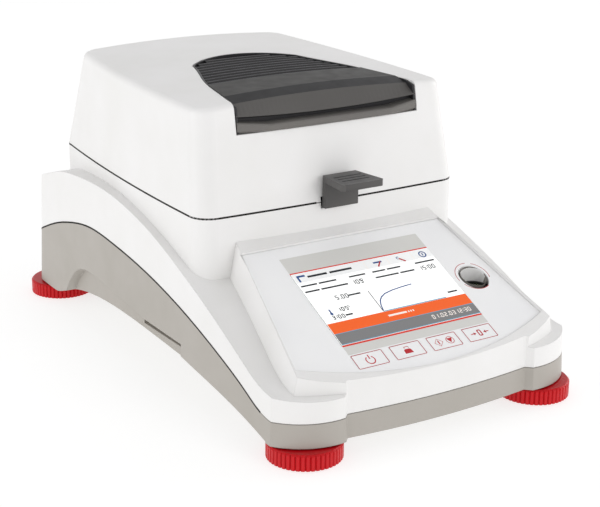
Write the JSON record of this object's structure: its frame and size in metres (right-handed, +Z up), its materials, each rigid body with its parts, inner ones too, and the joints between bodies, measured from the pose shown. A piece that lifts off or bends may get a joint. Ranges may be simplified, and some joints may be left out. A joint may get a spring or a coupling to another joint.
{
  "type": "moisture analyzer",
  "caption": "Bench moisture analyzer with sloping touch panel, hinged heater lid over a round pan, liftable pan holder and levelling feet.",
  "frame": {"origin": "middle of the footprint, on the bench", "axes": "+X right seen from the front, -Y towards the user, +Z up"},
  "size_m": [0.203, 0.3518, 0.1756],
  "materials": {
    "white_plastic": "fine textured moulded plastic",
    "grey_plastic": "fine textured moulded plastic",
    "overlay": "satin printed film",
    "dark_plastic": "satin moulded plastic",
    "red_plastic": "polished moulded plastic",
    "screen_glass": "clear cover glass",
    "heat_glass": "clear heat-resistant glass",
    "vial": "clear spirit level",
    "display_body": "black module frame",
    "board": "coated circuit board",
    "black_part": "moulded black",
    "ceramic": "unglazed ceramic",
    "sheet_steel": "brushed sheet",
    "bright_steel": "polished",
    "screws": "zinc plated",
    "aluminium": "bright rolled",
    "alloy": "machined",
    "brass": "turned",
    "rubber": "matte",
    "painted_steel": "satin coat"
  },
  "bodies": {
    "base": {"upper_housing": "white_plastic", "lower_housing": "grey_plastic", "overlay_panel": "overlay", "touch_glass": "screen_glass", "display_module": "display_body", "keypad_board": "board", "level_vial": "vial", "level_bubble": "vial", "level_cup": "black_part", "hinge_bracket": "painted_steel", "hinge_pins": "bright_steel", "lid_sensor": "black_part", "chamber_liner": "sheet_steel", "draft_shield": "sheet_steel", "load_cell": "alloy", "cell_bracket": "alloy", "main_board": "board", "supply_board": "board", "transformer": "painted_steel", "board_screws": "screws", "housing_screws": "screws", "foot_bushes": "brass", "rear_plate": "painted_steel", "power_inlet": "black_part", "inlet_pins": "bright_steel", "usb_host": "bright_steel", "usb_device": "bright_steel", "serial_port": "bright_steel", "fan_frame": "black_part"},
    "lid": {"lid_shell": "white_plastic", "lid_insert": "dark_plastic", "lid_liner": "sheet_steel", "heater_housing": "sheet_steel", "reflector": "bright_steel", "halogen_lamp": "heat_glass", "lamp_sockets": "ceramic", "protective_glass": "heat_glass", "glass_retainer": "bright_steel", "temperature_probe": "bright_steel", "lid_hinge_arms": "painted_steel", "lid_screws": "screws", "lid_magnet": "bright_steel"},
    "pan_carrier": {"pan_handler": "dark_plastic", "sample_pan": "aluminium"},
    "weighing": {"pan_support": "bright_steel"},
    "fuse_drawer": {"fuse_drawer": "black_part", "fuses": "heat_glass"},
    "fan_rotor": {"fan_rotor": "black_part"},
    "key_power": {"key_power": "overlay"},
    "key_print": {"key_print": "overlay"},
    "key_start": {"key_start": "overlay"},
    "key_tare": {"key_tare": "overlay"},
    "foot_fl": {"foot_knob_fl": "red_plastic"},
    "pad_fl": {"foot_pad_fl": "rubber"},
    "foot_fr": {"foot_knob_fr": "red_plastic"},
    "pad_fr": {"foot_pad_fr": "rubber"},
    "foot_rl": {"foot_knob_rl": "red_plastic"},
    "pad_rl": {"foot_pad_rl": "rubber"},
    "foot_rr": {"foot_knob_rr": "red_plastic"},
    "pad_rr": {"foot_pad_rr": "rubber"}
  },
  "joints": [
    {"name": "lid_hinge", "type": "hinge", "parent": "base", "child": "lid", "pos_m": [0, 0.1454, 0.1116], "axis": [-1, 0, 0], "range_deg": [0, 80]},
    {"name": "pan_lift", "type": "slide", "parent": "base", "child": "pan_carrier", "axis": [0, 0, 1], "range_m": [0, 0.0025]},
    {"name": "load_deflection", "type": "slide", "parent": "base", "child": "weighing", "axis": [0, 0, -1], "range_m": [0, 0.0003], "stiffness_N_per_m": 8000},
    {"name": "drawer_slide", "type": "slide", "parent": "base", "child": "fuse_drawer", "axis": [0, 1, 0], "range_m": [0, 0.015]},
    {"name": "fan_spin", "type": "hinge", "parent": "base", "child": "fan_rotor", "pos_m": [-0.048, 0.1617, 0.044], "axis": [0, 1, 0], "continuous": true},
    {"name": "key_power_press", "type": "slide", "parent": "base", "child": "key_power", "axis": [0, 0.4337, -0.9011], "range_m": [0, 0.0004], "stiffness_N_per_m": 1000},
    {"name": "key_print_press", "type": "slide", "parent": "base", "child": "key_print", "axis": [0, 0.4337, -0.9011], "range_m": [0, 0.0004], "stiffness_N_per_m": 1000},
    {"name": "key_start_press", "type": "slide", "parent": "base", "child": "key_start", "axis": [0, 0.4337, -0.9011], "range_m": [0, 0.0004], "stiffness_N_per_m": 1000},
    {"name": "key_tare_press", "type": "slide", "parent": "base", "child": "key_tare", "axis": [0, 0.4337, -0.9011], "range_m": [0, 0.0004], "stiffness_N_per_m": 1000},
    {"name": "foot_fl_travel", "type": "slide", "parent": "base", "child": "pad_fl", "axis": [0, 0, -1], "range_m": [0, 0.006]},
    {"name": "foot_fl_turn", "type": "hinge", "parent": "pad_fl", "child": "foot_fl", "pos_m": [-0.08, -0.155, 0], "axis": [0, 0, -1], "range_deg": [0, 1727.5]},
    {"name": "foot_fr_travel", "type": "slide", "parent": "base", "child": "pad_fr", "axis": [0, 0, -1], "range_m": [0, 0.006]},
    {"name": "foot_fr_turn", "type": "hinge", "parent": "pad_fr", "child": "foot_fr", "pos_m": [0.08, -0.155, 0], "axis": [0, 0, -1], "range_deg": [0, 1727.5]},
    {"name": "foot_rl_travel", "type": "slide", "parent": "base", "child": "pad_rl", "axis": [0, 0, -1], "range_m": [0, 0.006]},
    {"name": "foot_rl_turn", "type": "hinge", "parent": "pad_rl", "child": "foot_rl", "pos_m": [-0.08, 0.155, 0], "axis": [0, 0, -1], "range_deg": [0, 1727.5]},
    {"name": "foot_rr_travel", "type": "slide", "parent": "base", "child": "pad_rr", "axis": [0, 0, -1], "range_m": [0, 0.006]},
    {"name": "foot_rr_turn", "type": "hinge", "parent": "pad_rr", "child": "foot_rr", "pos_m": [0.08, 0.155, 0], "axis": [0, 0, -1], "range_deg": [0, 1727.5]}
  ],
  "couplings": [
    {"joint": "foot_fl_travel", "follows": "foot_fl_turn", "m_per_rad": 0.00019894},
    {"joint": "foot_fr_travel", "follows": "foot_fr_turn", "m_per_rad": 0.00019894},
    {"joint": "foot_rl_travel", "follows": "foot_rl_turn", "m_per_rad": 0.00019894},
    {"joint": "foot_rr_travel", "follows": "foot_rr_turn", "m_per_rad": 0.00019894}
  ]
}
